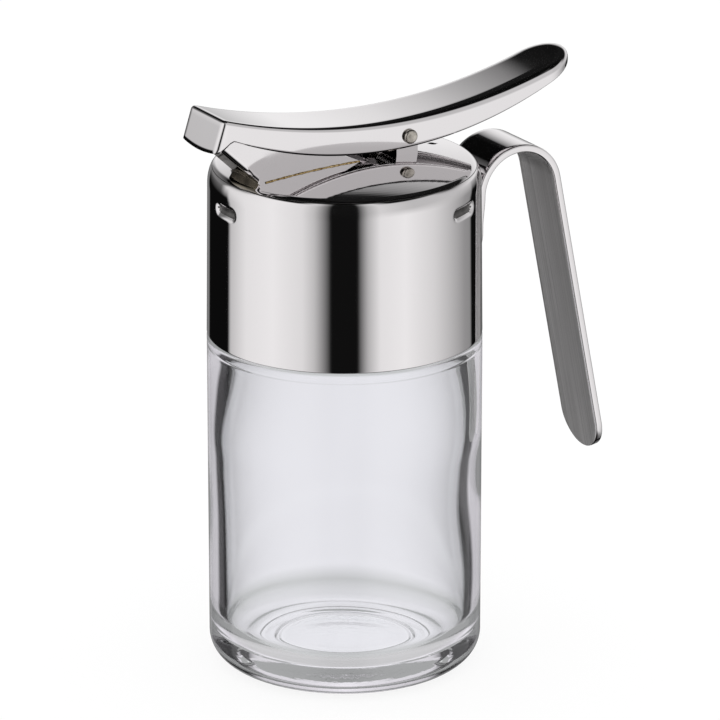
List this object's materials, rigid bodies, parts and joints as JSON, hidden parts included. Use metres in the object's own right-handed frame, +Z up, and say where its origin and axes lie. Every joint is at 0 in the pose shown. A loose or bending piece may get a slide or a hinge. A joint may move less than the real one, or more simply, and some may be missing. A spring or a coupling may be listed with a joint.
{
  "type": "honey dispenser",
  "caption": "Glass jar under a tall polished steel cap, with a thumb lever that lifts off a pouring chute and a bent strip handle.",
  "frame": {"origin": "on the jar's axis, in the plane it stands on", "axes": "+Z up along the jar's axis; the spout points to -X and the handle to +X; the XZ plane is the plane of symmetry"},
  "size_m": [0.1098, 0.066, 0.1455],
  "materials": {
    "clear_glass": "smooth pressed glass",
    "polished_steel": "mirror-polished stainless steel",
    "satin_steel": "fine satin inside, polished edges"
  },
  "bodies": {
    "jar": {"glass_jar": "clear_glass", "cap_shell": "polished_steel", "spout_chute": "polished_steel", "hinge_bracket": "polished_steel", "hinge_pin": "polished_steel", "return_spring": "polished_steel", "handle": "satin_steel"},
    "lever_arm": {"lever": "polished_steel"}
  },
  "joints": [
    {"name": "lever_hinge", "type": "hinge", "parent": "jar", "child": "lever_arm", "pos_m": [0.0131, 0, 0.1311], "axis": [0, 1, 0], "range_deg": [0, 12], "stiffness_Nm_per_rad": 0.15, "springref_deg": -17.19}
  ]
}
